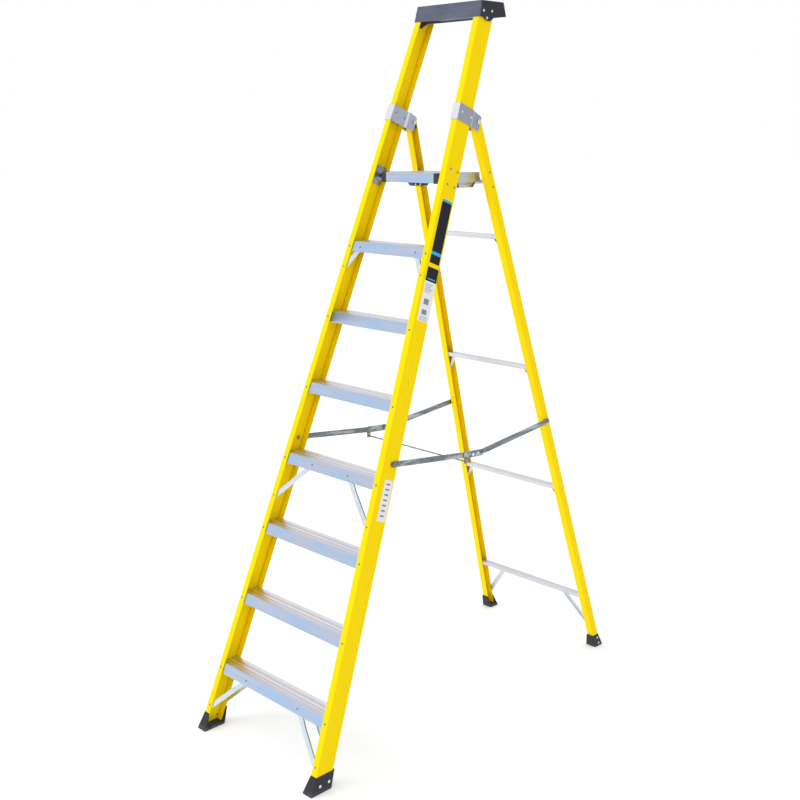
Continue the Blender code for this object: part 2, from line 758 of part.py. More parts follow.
def build_stay_pivots(side, label, material):
    web = FRONT.half_width_at(STAY_FRONT_PIVOT[1])
    strap = STAY_INNER + STAY_SHEET + GAP
    front = (
        (web - FRONT_WALL - HEAD_GAP - 0.0024, 0.006),
        (web - FRONT_WALL - HEAD_GAP, 0.0075),
        (web - FRONT_WALL - HEAD_GAP, BOLT_RADIUS),
        (strap, BOLT_RADIUS),
        (strap, 0.0075),
        (strap + 0.001, 0.0075),
        (strap + 0.003, 0.005),
    )
    headed_pin(f"stay_front_pivot_{label}", STAY_FRONT_PIVOT, side, front, material)
    plate = JOINT_PLATE_OUTER + GAP
    elbow = (
        (STAY_INNER - GAP - 0.002, 0.005),
        (STAY_INNER - GAP, 0.0065),
        (STAY_INNER - GAP, BOLT_RADIUS),
        (plate, BOLT_RADIUS),
        (plate, 0.0065),
        (plate + 0.0008, 0.0065),
        (plate + 0.0025, 0.0045),
    )
    headed_pin(f"stay_elbow_pivot_{label}", STAY_ELBOW, side, elbow, material)


def build_tie_rod(material):
    end = JOINT_PLATE_OUTER + 0.0015
    return pin("stay_tie_rod", TIE_ROD, 0.0025, -end, end, material, 16)


# Assembly ----------------------------------------------------------------------------
def build():
    clear_scene()
    glass_fibre = make_material("glass_fibre", (0.95, 0.72, 0.01), 0.35, 0.0)
    aluminium = make_material("aluminium", (0.72, 0.74, 0.78), 0.35, 1.0)
    zinc = make_material("zinc_steel", (0.30, 0.33, 0.37), 0.45, 1.0)
    black = make_material("black_plastic", (0.03, 0.03, 0.035), 0.5, 0.0)
    slate = make_material("slate_plastic", (0.07, 0.08, 0.11), 0.5, 0.0)

    for side, label in SIDES:
        build_front_stile(side, label, glass_fibre)
        build_hinge_bracket(side, label, aluminium)
        build_hinge_bolt(side, label, zinc)
        build_platform_pivot_bracket(side, label, aluminium)
        build_foot(FRONT, side, label, "front_foot", (FRONT_FLANGE, FRONT_DEPTH, 0.058), slate)
        build_rear_stile(side, label, glass_fibre)
        build_stile_plug(side, label, black)
        build_foot(REAR, side, label, "rear_foot", (REAR_FLANGE, REAR_DEPTH, 0.053), slate)
        build_bottom_brace(side, label, aluminium)
        build_rest_bracket(side, label, aluminium)
        build_platform_side(side, label, aluminium)
        build_platform_end_cap(side, label, black)
        build_platform_hook(side, label, black)
        build_front_stay(side, label, zinc)
        build_joint_plate(side, label, zinc)
        build_rear_stay(side, label, zinc)
        build_stay_pivots(side, label, zinc)

    for index in range(TREAD_COUNT):
        build_tread(index, aluminium)
    build_tread_braces(aluminium)
    build_top_tray(slate)
    for number, top in enumerate((0.2450, 0.7470, 1.2520, 1.7570), start=1):
        build_back_bar(number, top, aluminium)
    build_rest_tube(aluminium)
    build_platform_deck(aluminium)
    build_tie_rod(zinc)


build()
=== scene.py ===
"""Looks of the platform step ladder: materials, rivets, labels, studio and camera.

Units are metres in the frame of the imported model: +Z up, the user climbs from -Y.
Rivets and labels are placed in rail coordinates: inset inwards from a stile's outer web
face, depth away from its outer flange, and height above the floor.
"""

import math

import bmesh
import bpy
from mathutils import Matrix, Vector


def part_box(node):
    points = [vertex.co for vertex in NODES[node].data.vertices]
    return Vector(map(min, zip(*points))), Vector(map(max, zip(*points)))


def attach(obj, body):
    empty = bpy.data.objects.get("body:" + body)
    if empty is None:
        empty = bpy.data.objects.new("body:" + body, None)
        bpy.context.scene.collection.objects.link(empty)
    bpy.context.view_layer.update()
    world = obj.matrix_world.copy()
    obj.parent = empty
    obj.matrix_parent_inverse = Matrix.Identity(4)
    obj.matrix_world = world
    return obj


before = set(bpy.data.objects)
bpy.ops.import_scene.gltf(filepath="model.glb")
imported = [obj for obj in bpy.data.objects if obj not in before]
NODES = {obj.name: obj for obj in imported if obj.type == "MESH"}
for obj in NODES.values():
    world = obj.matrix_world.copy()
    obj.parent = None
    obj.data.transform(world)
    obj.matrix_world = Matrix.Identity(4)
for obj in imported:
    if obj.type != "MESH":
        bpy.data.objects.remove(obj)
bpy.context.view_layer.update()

SIDES = ((-1, "left"), (1, "right"))
STEP_RISE = 0.250
TREAD_COUNT = 7
TREAD_RIVET_HEIGHT = 0.219

# A point of the hinge brackets' fold line, along which the hinge material paints a highlight: how far
# behind the front stile, and how high.
HINGE_FOLD = 0.003
HINGE_HEIGHT = 2.18

CAMERA_PLACE = (2.8441, -2.9100, 2.1051)
CAMERA_YAW = 45.23
CAMERA_PITCH = -13.215
CAMERA_LENS = 50.47
SENSOR_WIDTH = 36.0


# Materials ---------------------------------------------------------------------------
class Look:
    """Principled material whose colour, roughness and relief come from procedural nodes."""

    def __init__(self, name, metallic=0.0, specular=0.5):
        self.material = bpy.data.materials.new(name)
        self.material.use_nodes = True
        self.tree = self.material.node_tree
        self.shader = self.tree.nodes["Principled BSDF"]
        self.shader.inputs["Metallic"].default_value = metallic
        self.shader.inputs["Specular IOR Level"].default_value = specular
        self.place = self.node("ShaderNodeTexCoord")
        self.relief = None

    def node(self, kind, **settings):
        node = self.tree.nodes.new(kind)
        for key, value in settings.items():
            setattr(node, key, value)
        return node

    def feed(self, socket, value):
        if isinstance(value, bpy.types.NodeSocket):
            self.tree.links.new(value, socket)
        else:
            socket.default_value = value

    def stretched(self, scale, lean=0.0):
        """Object coordinates turned about X by lean and then scaled along each axis."""
        turn = self.node("ShaderNodeMapping")
        turn.inputs["Rotation"].default_value = (lean, 0.0, 0.0)
        self.feed(turn.inputs["Vector"], self.place.outputs["Object"])
        size = self.node("ShaderNodeMapping")
        size.inputs["Scale"].default_value = scale
        self.feed(size.inputs["Vector"], turn.outputs["Vector"])
        return size.outputs["Vector"]

    def noise(self, vector, scale=1.0, detail=3.0):
        noise = self.node("ShaderNodeTexNoise")
        self.feed(noise.inputs["Vector"], vector)
        noise.inputs["Scale"].default_value = scale
        noise.inputs["Detail"].default_value = detail
        return noise.outputs["Fac"]

    def cells(self, scale):
        cells = self.node("ShaderNodeTexVoronoi")
        self.feed(cells.inputs["Vector"], self.place.outputs["Object"])
        cells.inputs["Scale"].default_value = scale
        split = self.node("ShaderNodeSeparateColor")
        self.feed(split.inputs["Color"], cells.outputs["Color"])
        return split.outputs["Red"]

    def math(self, operation, first, second=0.0):
        node = self.node("ShaderNodeMath", operation=operation)
        self.feed(node.inputs[0], first)
        self.feed(node.inputs[1], second)
        return node.outputs["Value"]

    def spread(self, value, low, high, from_low=0.3, from_high=0.7):
        node = self.node("ShaderNodeMapRange")
        self.feed(node.inputs["Value"], value)
        node.inputs["From Min"].default_value = from_low
        node.inputs["From Max"].default_value = from_high
        node.inputs["To Min"].default_value = low
        node.inputs["To Max"].default_value = high
        return node.outputs["Result"]

    def blend(self, share, first, second):
        node = self.node("ShaderNodeMix", data_type="RGBA")
        self.feed(node.inputs[0], share)
        for socket, colour in ((node.inputs[6], first), (node.inputs[7], second)):
            self.feed(socket, (*colour, 1.0) if isinstance(colour, tuple) else colour)
        return node.outputs[2]

    def axis(self, output, name):
        split = self.node("ShaderNodeSeparateXYZ")
        self.feed(split.inputs["Vector"], self.place.outputs[output])
        return split.outputs[name]

    def near_line(self, point, direction, core, reach):
        """1 within core of the plane through point square to direction, 0 past reach."""
        along = self.node("ShaderNodeVectorMath", operation="DOT_PRODUCT")
        self.feed(along.inputs[0], self.place.outputs["Object"])
        along.inputs[1].default_value = direction
        offset = self.math("SUBTRACT", along.outputs["Value"], point.dot(direction))
        return self.spread(self.math("ABSOLUTE", offset), 1.0, 0.0, core, reach)

    def paint(self, colour):
        self.feed(self.shader.inputs["Base Color"], colour)

    def polish(self, roughness):
        self.feed(self.shader.inputs["Roughness"], roughness)

    def emboss(self, height, distance, strength=1.0):
        bump = self.node("ShaderNodeBump")
        bump.inputs["Distance"].default_value = distance
        bump.inputs["Strength"].default_value = strength
        self.feed(bump.inputs["Height"], height)
        if self.relief:
            self.feed(bump.inputs["Normal"], self.relief)
        self.relief = bump.outputs["Normal"]
        self.feed(self.shader.inputs["Normal"], self.relief)


def glass_fibre(name, lean, corner, direction):
    """Pultruded resin: glass rovings run along the rail under a thin, glossy skin.

    Painted shade darkens the inner corner that runs along the rail through the point corner, on the
    faces that look inwards.
    """
    look = Look(name, specular=0.06)
    rovings = look.noise(look.stretched((520.0, 520.0, 5.0), lean), detail=4.0)
    threads = look.noise(look.stretched((2200.0, 2200.0, 22.0), lean), detail=2.0)
    clouds = look.noise(look.stretched((6.0, 6.0, 2.5), lean), detail=4.0)
    mixed = look.math("ADD", look.math("MULTIPLY", rovings, 0.6), look.math("MULTIPLY", threads, 0.4))
    skin = look.blend(look.spread(mixed, 0.0, 1.0), (0.96, 0.67, 0.0), (1.0, 0.81, 0.0))
    skin = look.blend(look.spread(clouds, 0.0, 0.45), skin, (0.98, 0.66, 0.0))
    inward = look.math("MULTIPLY", look.axis("Normal", "X"), look.axis("Object", "X"))
    inward = look.spread(inward, 1.0, 0.0, -0.10, 0.0)
    # Painted shade: inward-facing faces within a few millimetres of the inner corner are darkened
    # towards brown, standing in for the shade in the channel's corner.
    dust_and_shade = look.math("MULTIPLY", inward, look.near_line(corner, direction, 0.0012, 0.0060))
    look.paint(look.blend(look.math("MULTIPLY", dust_and_shade, 0.60), skin, (0.50, 0.28, 0.0)))
    look.polish(look.spread(mixed, 0.42, 0.30))
    look.emboss(mixed, 0.00012, 0.35)
    return look.material


def drawn_aluminium(name, lines, tint, cold=None):
    """Extruded aluminium: fine die lines along the section, softly clouded."""
    look = Look(name, metallic=1.0)
    die = look.noise(look.stretched(lines), detail=3.0)
    patches = look.noise(look.stretched((7.0, 30.0, 30.0)), detail=5.0)
    dark = tuple(channel * 0.84 for channel in tint)
    metal = look.blend(look.spread(die, 0.0, 1.0), dark, tint)
    bloom = cold or tuple(min(channel * 1.08, 1.0) for channel in tint)
    look.paint(look.blend(look.spread(patches, 0.0, 0.75), metal, bloom))
    look.polish(look.spread(die, 0.44, 0.32))
    look.emboss(die, 0.00006, 0.30)
    return look.material


RIB_PITCH = 0.0125


def tread_aluminium(name, stem):
    """Tread extrusion: bluish drawn front; the top with long ribs is painted paler as painted light
    from above, with painted shade in the rib valleys.
    """
    look = Look(name, metallic=1.0)
    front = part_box(stem)[0].y
    die = look.noise(look.stretched((3.0, 620.0, 620.0)), detail=3.0)
    patches = look.noise(look.stretched((7.0, 30.0, 30.0)), detail=5.0)
    face = look.blend(look.spread(die, 0.0, 1.0), (0.43, 0.48, 0.61), (0.53, 0.59, 0.72))
    face = look.blend(look.spread(patches, 0.0, 1.0, 0.42, 0.62), face, (0.38, 0.53, 0.74))
    # Painted light: the top faces take this paler colour than the front face, as if lit from above.
    painted_lit_top = look.blend(look.spread(patches, 0.0, 1.0), (0.80, 0.78, 0.83), (0.86, 0.82, 0.82))
    behind = look.math("SUBTRACT", look.axis("Object", "Y"), front)
    wave = look.math("SINE", look.math("MULTIPLY", behind, 2 * math.pi / RIB_PITCH))
    # Painted shade: the valleys between the ribs are darkened.
    painted_valley_shade = look.spread(wave, 0.0, 0.75, 0.80, 0.97)
    top = look.blend(painted_valley_shade, painted_lit_top, (0.40, 0.38, 0.42))
    # upward picks the top faces, which get the painted-light top colour; top holds that colour with
    # the painted shade in the valleys.
    upward = look.spread(look.axis("Normal", "Z"), 0.0, 1.0, 0.88, 0.95)
    look.paint(look.blend(upward, face, top))
    look.polish(look.spread(die, 0.42, 0.30))
    look.emboss(die, 0.00006, 0.30)
    look.emboss(look.math("MULTIPLY", wave, upward), 0.00010, 0.25)
    return look.material


def folded_aluminium(name, fold, direction):
    """Pressed aluminium sheet with a painted highlight along one fold line square to direction, and
    forward-facing faces painted paler as painted light.
    """
    look = Look(name, metallic=1.0)
    roller = look.noise(look.stretched((420.0, 420.0, 9.0)), detail=3.0)
    patches = look.noise(look.stretched((30.0, 30.0, 12.0)), detail=4.0)
    sheet = look.blend(look.spread(roller, 0.0, 1.0), (0.38, 0.40, 0.47), (0.48, 0.51, 0.60))
    sheet = look.blend(look.spread(patches, 0.0, 0.8), sheet, (0.42, 0.46, 0.58))
    # Painted highlight: a bright line along the fold on the side faces; the same mask also bumps the
    # fold.
    fold_highlight = look.near_line(fold, direction, 0.0010, 0.0026)
    sideways = look.math("ABSOLUTE", look.axis("Normal", "X"))
    fold_highlight = look.math("MULTIPLY", fold_highlight, look.spread(sideways, 0.0, 1.0, 0.5, 0.8))
    # Painted light: faces looking forwards (-Y) are painted paler than the rest of the sheet.
    forward = look.spread(look.axis("Normal", "Y"), 1.0, 0.0, -0.9, -0.5)
    sheet = look.blend(forward, sheet, (0.74, 0.76, 0.82))
    look.paint(look.blend(fold_highlight, sheet, (0.95, 0.96, 0.98)))
    look.polish(look.spread(roller, 0.42, 0.30))
    look.emboss(fold_highlight, 0.00040, 0.60)
    look.emboss(roller, 0.00005, 0.30)
    return look.material


def zinc_plate(name, deep, light, scuff):
    """Zinc-plated pressed steel with a faint crystal pattern and roller marks."""
    look = Look(name, metallic=1.0)
    crystals = look.cells(170.0)
    roller = look.noise(look.stretched((300.0, 12.0, 300.0)), detail=3.0)
    streaks = look.noise(look.stretched((60.0, 7.0, 60.0)), detail=5.0)
    plate = look.blend(look.spread(crystals, 0.0, 1.0, 0.0, 1.0), deep, light)
    plate = look.blend(look.spread(roller, 0.0, 0.5), plate, deep)
    look.paint(look.blend(look.spread(streaks, 0.0, 0.7, 0.48, 0.62), plate, scuff))
    look.polish(look.spread(roller, 0.28, 0.42))
    look.emboss(roller, 0.00005, 0.30)
    return look.material


def moulded(name, deep, light, rough, grain=2400.0, specular=0.5):
    """Moulded polymer: spark-eroded grain, faint flow marks."""
    look = Look(name, specular=specular)
    texture = look.noise(look.stretched((grain, grain, grain)), detail=2.0)
    flow = look.noise(look.stretched((14.0, 14.0, 30.0)), detail=4.0)
    base = look.blend(look.spread(flow, 0.0, 1.0), deep, light)
    look.paint(look.blend(look.spread(texture, 0.0, 0.25), base, light))
    look.polish(look.spread(flow, rough - 0.06, rough + 0.06))
    look.emboss(texture, 0.00010, 0.35)
    return look.material


def tray_plastic(name):
    """Slate moulding whose front and top are painted paler than its ends: painted light on the front
    and top, painted shade on the ends.
    """
    look = Look(name, specular=0.45)
    grain = look.noise(look.stretched((1800.0, 1800.0, 1800.0)), detail=2.0)
    scuffs = look.noise(look.stretched((11.0, 40.0, 40.0)), detail=5.0)
    # ends masks the side-facing end faces; pale is the painted-light colour of the front and top,
    # deep the painted-shade colour of the ends.
    ends = look.spread(look.math("ABSOLUTE", look.axis("Normal", "X")), 0.0, 1.0, 0.6, 0.9)
    pale = look.blend(look.spread(scuffs, 0.0, 1.0), (0.066, 0.076, 0.120), (0.100, 0.115, 0.175))
    deep = look.blend(look.spread(scuffs, 0.0, 1.0), (0.008, 0.009, 0.016), (0.016, 0.018, 0.030))
    look.paint(look.blend(ends, pale, deep))
    look.polish(look.spread(grain, 0.38, 0.50))
    look.emboss(grain, 0.00010, 0.35)
    return look.material


def boot_rubber(name):
    """Charcoal rubber, dusty and slightly worn just above the floor."""
    look = Look(name, specular=0.35)
    grain = look.noise(look.stretched((900.0, 900.0, 900.0)), detail=3.0)
    smear = look.noise(look.stretched((60.0, 60.0, 25.0)), detail=4.0)
    base = look.blend(look.spread(grain, 0.0, 1.0), (0.020, 0.020, 0.028), (0.034, 0.034, 0.046))
    low = look.spread(look.axis("Object", "Z"), 0.55, 0.0, 0.001, 0.020)
    dust_and_shade = look.math("MULTIPLY", low, look.spread(smear, 0.0, 1.0))
    look.paint(look.blend(dust_and_shade, base, (0.17, 0.17, 0.18)))
    look.polish(look.spread(smear, 0.55, 0.72))
    look.emboss(grain, 0.00012, 0.40)
    return look.material


def rivet_metal(name, deep, light):
    """Blind-rivet heads with turning marks."""
    look = Look(name, metallic=1.0)
    marks = look.noise(look.stretched((900.0, 900.0, 900.0)), detail=2.0)
    look.paint(look.blend(look.spread(marks, 0.0, 1.0), deep, light))
    look.polish(look.spread(marks, 0.20, 0.32))
    look.emboss(marks, 0.00004, 0.30)
    return look.material


def vinyl(name, deep, light):
    """Printed film: even ink with a faint orange-peel gloss."""
    look = Look(name, specular=0.2)
    ink = look.noise(look.stretched((260.0, 260.0, 260.0)), detail=3.0)
    peel = look.noise(look.stretched((700.0, 700.0, 700.0)), detail=1.0)
    look.paint(look.blend(look.spread(ink, 0.0, 1.0), deep, light))
    look.polish(look.spread(peel, 0.24, 0.34))
    look.emboss(peel, 0.00003, 0.30)
    return look.material


# Rail geometry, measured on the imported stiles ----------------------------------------
def widest_face(node, direction):
    """Normal and centre of the largest face of a node that looks along direction."""
    aim = Vector(direction)
    facing = [face for face in NODES[node].data.polygons if face.normal.dot(aim) > 0.9]
    face = max(facing, key=lambda candidate: candidate.area)
    return face.normal.copy(), face.center.copy()


class Rail:
    """Pair of leaning stiles; facing is +1 for the front pair and -1 for the rear."""

    def __init__(self, stem, facing):
        flange, on_flange = widest_face(f"{stem}_right", (0.0, -facing, 0.0))
        web, on_web = widest_face(f"{stem}_right", (1.0, 0.0, 0.0))
        self.facing = facing
        self.slope = -facing * flange.z / flange.y
        self.lean = math.atan(self.slope)
        self.taper = web.z / web.x
        self.half_width = on_web.x + self.taper * on_web.z
        self.start = facing * on_flange.y - on_flange.z * self.slope

    def point(self, side, inset, depth, height):
        y = self.start + height * self.slope + depth / math.cos(self.lean)
        x = side * (self.half_width - self.taper * height - inset)
        return Vector((x, self.facing * y, height))

    def run_point(self, side, inset, depth, run):
        """Point at a distance along the rail, so that equal runs lie square across it."""
        height = run * math.cos(self.lean) - depth * math.sin(self.lean)
        return self.point(side, inset, depth, height)

    def outward(self, side):
        return Vector((side, 0.0, self.taper)).normalized()

    def forward(self):
        return Vector((0.0, -self.facing * math.cos(self.lean), math.sin(self.lean)))


FRONT = Rail("front_stile", 1)
REAR = Rail("rear_stile", -1)
FRONT_DEPTH = 0.0695
FRONT_FLANGE = 0.0258
FRONT_WALL = 0.0035
REAR_FLANGE = 0.027
REAR_WALL = 0.003


# Pieces ------------------------------------------------------------------------------
def piece(name, bm, material, body):
    """Turn a bmesh into a shown piece that rides on a body."""
    bmesh.ops.recalc_face_normals(bm, faces=bm.faces)
    mesh = bpy.data.meshes.new(name)
    bm.to_mesh(mesh)
    bm.free()
    mesh.materials.append(material)
    mesh.shade_smooth()
    mesh.set_sharp_from_angle(angle=math.radians(40))
    obj = bpy.data.objects.new(name, mesh)
    bpy.context.scene.collection.objects.link(obj)
    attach(obj, body)
    return obj


def lathe(bm, centre, normal, profile, segments=18):
    """Closed turned solid: profile is (radius, height), from the seat up to the axis."""
    turn = Vector(normal).to_track_quat("Z", "Y").to_matrix()
    rings = []
    for radius, height in profile:
        ring = []
        for i in range(segments):
            angle = 2 * math.pi * i / segments
            local = Vector((radius * math.cos(angle), radius * math.sin(angle), height))
            ring.append(bm.verts.new(Vector(centre) + turn @ local))
        rings.append(ring)
    for lower, upper in zip(rings, rings[1:]):
        for i in range(segments):
            j = (i + 1) % segments
            bm.faces.new((lower[i], lower[j], upper[j], upper[i]))
    bm.faces.new(rings[0])
    bm.faces.new(rings[-1])


def prism(bm, near, far):
    """Closed solid between two outlines that have the same number of points."""
    near = [bm.verts.new(point) for point in near]
    far = [bm.verts.new(point) for point in far]
    for i in range(len(near)):
        j = (i + 1) % len(near)
        bm.faces.new((near[i], near[j], far[j], far[i]))
    bm.faces.new(near)
    bm.faces.new(far)


SUNK = 0.0003


def blind_rivet(bm, centre, normal, radius=0.0043, height=0.0017):
    """Domed flange with the broken mandrel sunk in its centre."""
    profile = (
        (radius, -SUNK), (radius, height * 0.22), (radius * 0.88, height * 0.62),
        (radius * 0.62, height * 0.94), (radius * 0.44, height), (radius * 0.36, height * 0.70),
        (radius * 0.12, height * 0.62),
    )
    lathe(bm, centre, normal, profile)


def solid_head(bm, centre, normal, radius=0.0036, height=0.0012):
    """Set tail of a rivet on the inner side of a wall."""
    profile = (
        (radius, -SUNK), (radius, height * 0.5), (radius * 0.80, height * 0.9),
        (radius * 0.25, height),
    )
    lathe(bm, centre, normal, profile, 14)


def collar(bm, centre, normal, radius=0.0078, height=0.0007):
    """Moulded ring round a rivet head, dished towards the head."""
    profile = (
        (radius, -SUNK), (radius, height * 0.5), (radius * 0.90, height), (radius * 0.76, height),
        (radius * 0.64, height * 0.35), (radius * 0.20, height * 0.30),
    )
    lathe(bm, centre, normal, profile, 24)


def row(name, body, seats, material, head=blind_rivet, slot="zinc_steel", **sizes):
    """One piece of identical heads at (centre, normal) seats."""
    bm = bmesh.new()
    for centre, normal in seats:
        head(bm, centre, normal, **sizes)
    return piece(name, bm, material, body)


def tread_rivets():
    """Two rivets for each end of each tread, through the front and the rear flange."""
    seats = []
    middle = FRONT_FLANGE / 2
    for index in range(TREAD_COUNT):
        height = TREAD_RIVET_HEIGHT + STEP_RISE * index
        for side, _ in SIDES:
            seats.append((FRONT.point(side, middle, 0.0, height), FRONT.forward()))
            seats.append((FRONT.point(side, middle, FRONT_DEPTH, height), -FRONT.forward()))
    return seats


# Distance from the middle and height of a brace's upper head, height of its lower head,
# and whether the rear flange carries a brace too.
TREAD_BRACES = (
    (0.142, 0.2175, 0.085, True),
    (0.094, 0.9690, 0.835, False),
    (0.139, 1.7180, 1.647, False),
)


def tread_brace_rivets():
    """Brace ends: a head on the tread's face and one on the stile's flange."""
    seats = []
    on_skirt = FRONT_WALL + 0.0003
    for distance, height, low, rear_too in TREAD_BRACES:
        for side, _ in SIDES:
            inset = FRONT.half_width - FRONT.taper * height - distance
            seats.append((FRONT.point(side, inset, on_skirt, height), FRONT.forward()))
            foot = FRONT.point(side, FRONT_FLANGE / 2 + 0.002, 0.0, low)
            seats.append((foot, FRONT.forward()))
            if rear_too:
                far = FRONT_DEPTH - on_skirt
                seats.append((FRONT.point(side, inset, far, height), -FRONT.forward()))
                foot = FRONT.point(side, FRONT_FLANGE / 2 + 0.002, FRONT_DEPTH, low)
                seats.append((foot, -FRONT.forward()))
    return seats


# Height above the floor and depth from the outer flange of each head on a web.
PIVOT_PAD_SEATS = ((1.998, 0.021), (1.985, 0.056), (1.947, 0.020))
PIVOT_TAB_SEATS = ((1.934, 0.056),)
HINGE_SEATS = ((2.189, 0.015), (2.170, 0.063))
FRONT_BOOT_SEATS = ((0.025, 0.022), (0.027, 0.058))
REST_BRACKET_SEATS = ((1.9816, 0.0162), (1.9298, 0.0160))
REAR_BOOT_SEATS = ((0.038, 0.0125), (0.0140, 0.0135))

# What a rivet's tail clears inside the web, beyond the web's own wall.
PIVOT_PAD = 0.0088
PIVOT_TAB = 0.0033
HINGE_CHEEK = 0.0033
REST_BRACKET = 0.0028

FRONT_BOOT_HEIGHT = 0.058
REAR_BOOT_HEIGHT = 0.053

BACK_BAR_RIVET_HEIGHTS = (0.236, 0.738, 1.243, 1.748)
KNEE_BRACE_TOPS = (0.747, 1.252, 1.757)
KNEE_BRACE_DROP = 0.076
BOTTOM_BRACE_RIVET_HEIGHT = 0.094

# Y and Z of the heads on the tray's ends and on the elbow plates.
TRAY_SEATS = ((0.1595, 2.529), (0.2027, 2.529), (0.1764, 2.505))
ELBOW_SEATS = ((-0.0138, 0.996), (-0.0003, 0.985))


def web_seats(rail, seats, inset):
    """Seats on the web's outer face, or proud of it where inset is negative."""
    return [
        (rail.point(side, inset, depth, height), rail.outward(side))
        for side, _ in SIDES
        for height, depth in seats
    ]


def web_tails(rail, seats, inset):
    """The same seats on the inner side, so that the tails look inwards."""
    return [(centre, -normal) for centre, normal in web_seats(rail, seats, inset)]


def boot_flare(height, boot_height, top=0.0015, floor=0.0050):
    """How far a boot's outer wall stands out of the web at a height."""
    return top + (floor - top) * (1.0 - height / boot_height)


HOOK_PLATE = 0.0012
HOOK_RIVETS = (0.0905, 0.1160)
HOOK_RIVET_HEIGHT = 1.9345


def build_hook_plates(metal):
    """Aluminium cheek riveted to the outer face of each moulded hook."""
    low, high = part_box("platform_hook_right")
    front = low.y + 0.002
    under_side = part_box("platform_side_right")[0].z - 0.0006
    outline = (
        (front, under_side), (front, low.z + 0.009), (front + 0.008, low.z),
        (0.1400, low.z), (0.1500, low.z + 0.007), (0.1580, under_side),
    )
    for side, label in SIDES:
        bm = bmesh.new()
        near = [(side * (high.x - 0.0002), y, z) for y, z in outline]
        far = [(side * (high.x + HOOK_PLATE), y, z) for y, z in outline]
        prism(bm, near, far)
        bmesh.ops.bevel(
            bm, geom=[edge for edge in bm.edges if edge.calc_length() > 0.004],
            offset=0.0003, segments=2, affect="EDGES", clamp_overlap=True,
        )
        piece(f"platform_hook_plate_{label}", bm, metal, "platform")


def build_rivets(metal, bright, rubber):
    row("tread_rivets", "front_frame", tread_rivets(), metal)
    row("tread_brace_rivets", "front_frame", tread_brace_rivets(), metal, radius=0.0038)
    seats = web_seats(FRONT, PIVOT_PAD_SEATS + PIVOT_TAB_SEATS, 0.0)
    row("pivot_bracket_rivets", "front_frame", seats, metal)
    tails = web_tails(FRONT, PIVOT_PAD_SEATS, FRONT_WALL + PIVOT_PAD)
    tails += web_tails(FRONT, PIVOT_TAB_SEATS, FRONT_WALL + PIVOT_TAB)
    row("pivot_bracket_rivet_tails", "front_frame", tails, metal, head=solid_head)
    heads = web_seats(FRONT, HINGE_SEATS, -HINGE_CHEEK)
    row("hinge_bracket_rivets", "front_frame", heads, bright)
    tails = web_tails(FRONT, HINGE_SEATS, FRONT_FLANGE + HINGE_CHEEK)
    row("hinge_bracket_rivet_tails", "front_frame", tails, metal, head=solid_head)

    front_boots = []
    for height, depth in FRONT_BOOT_SEATS:
        flare = boot_flare(height, FRONT_BOOT_HEIGHT)
        front_boots += web_seats(FRONT, ((height, depth),), -flare)
    row("front_boot_rivets", "front_frame", front_boots, bright, radius=0.0056)
    row(
        "front_boot_collars", "front_frame", front_boots, rubber,
        head=collar, slot="rubber_boot", radius=0.0092,
    )
    inner = web_tails(FRONT, FRONT_BOOT_SEATS, FRONT_WALL)
    row("front_boot_rivet_tails", "front_frame", inner, metal, head=solid_head, radius=0.0045)

    row("rest_bracket_rivets", "rear_frame", web_seats(REAR, REST_BRACKET_SEATS, 0.0), metal)
    tails = web_tails(REAR, REST_BRACKET_SEATS, REAR_WALL + REST_BRACKET)
    row("rest_bracket_rivet_tails", "rear_frame", tails, metal, head=solid_head)
    rear_boots = []
    for height, depth in REAR_BOOT_SEATS:
        flare = boot_flare(height, REAR_BOOT_HEIGHT)
        rear_boots += web_seats(REAR, ((height, depth),), -flare)
    row("rear_boot_rivets", "rear_frame", rear_boots, bright, radius=0.0046)
    row("rear_boot_collars", "rear_frame", rear_boots, rubber, head=collar, slot="rubber_boot")
    inner = web_tails(REAR, REAR_BOOT_SEATS[:1], REAR_WALL)
    row("rear_boot_rivet_tails", "rear_frame", inner, metal, head=solid_head, radius=0.0042)

    bars = []
    for height in BACK_BAR_RIVET_HEIGHTS:
        for side, _ in SIDES:
            bars.append((REAR.point(side, REAR_FLANGE / 2, 0.0, height), REAR.forward()))
    row("back_bar_rivets", "rear_frame", bars, metal, radius=0.0036)
    knees = []
    for top in KNEE_BRACE_TOPS:
        for side, _ in SIDES:
            height = top - KNEE_BRACE_DROP
            knees.append((REAR.point(side, REAR_FLANGE / 2, 0.0, height), REAR.forward()))
    row("knee_brace_rivets", "rear_frame", knees, metal, radius=0.0036)
    feet = []
    for side, _ in SIDES:
        foot = REAR.point(side, REAR_FLANGE * 0.62, 0.0, BOTTOM_BRACE_RIVET_HEIGHT)
        feet.append((foot, REAR.forward()))
    row("bottom_brace_rivets", "rear_frame", feet, metal, radius=0.0036)

    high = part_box("top_tray")[1]
    ends = []
    for side, _ in SIDES:
        for y, z in TRAY_SEATS:
            ends.append((Vector((side * high.x, y, z)), Vector((side, 0.0, 0.0))))
    row("tray_rivets", "front_frame", ends, bright, radius=0.0046)

    hooks = []
    inner, outer = (corner.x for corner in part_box("platform_hook_right"))
    for side, _ in SIDES:
        for y in HOOK_RIVETS:
            hooks.append((Vector((side * inner, y, HOOK_RIVET_HEIGHT)), Vector((-side, 0.0, 0.0))))
            face = side * (outer + HOOK_PLATE)
            hooks.append((Vector((face, y, HOOK_RIVET_HEIGHT)), Vector((side, 0.0, 0.0))))
    row("platform_hook_rivets", "platform", hooks, bright, radius=0.0040)

    elbows = []
    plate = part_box("stay_joint_plate_right")[1].x
    for side, _ in SIDES:
        for y, z in ELBOW_SEATS:
            elbows.append((Vector((side * plate, y, z)), Vector((side, 0.0, 0.0))))
    row("stay_plate_rivets", "front_stays", elbows, bright, radius=0.0034)


# Elbow plate pressings ---------------------------------------------------------------
RING_CENTRE = (0.0307, 0.985)
LUG_CENTRE = (0.055, 0.984)
LUG_FOOT = 0.9755
LUG_OUTER = 0.0075
LUG_INNER = 0.0040
LUG_HEIGHT = 0.0010


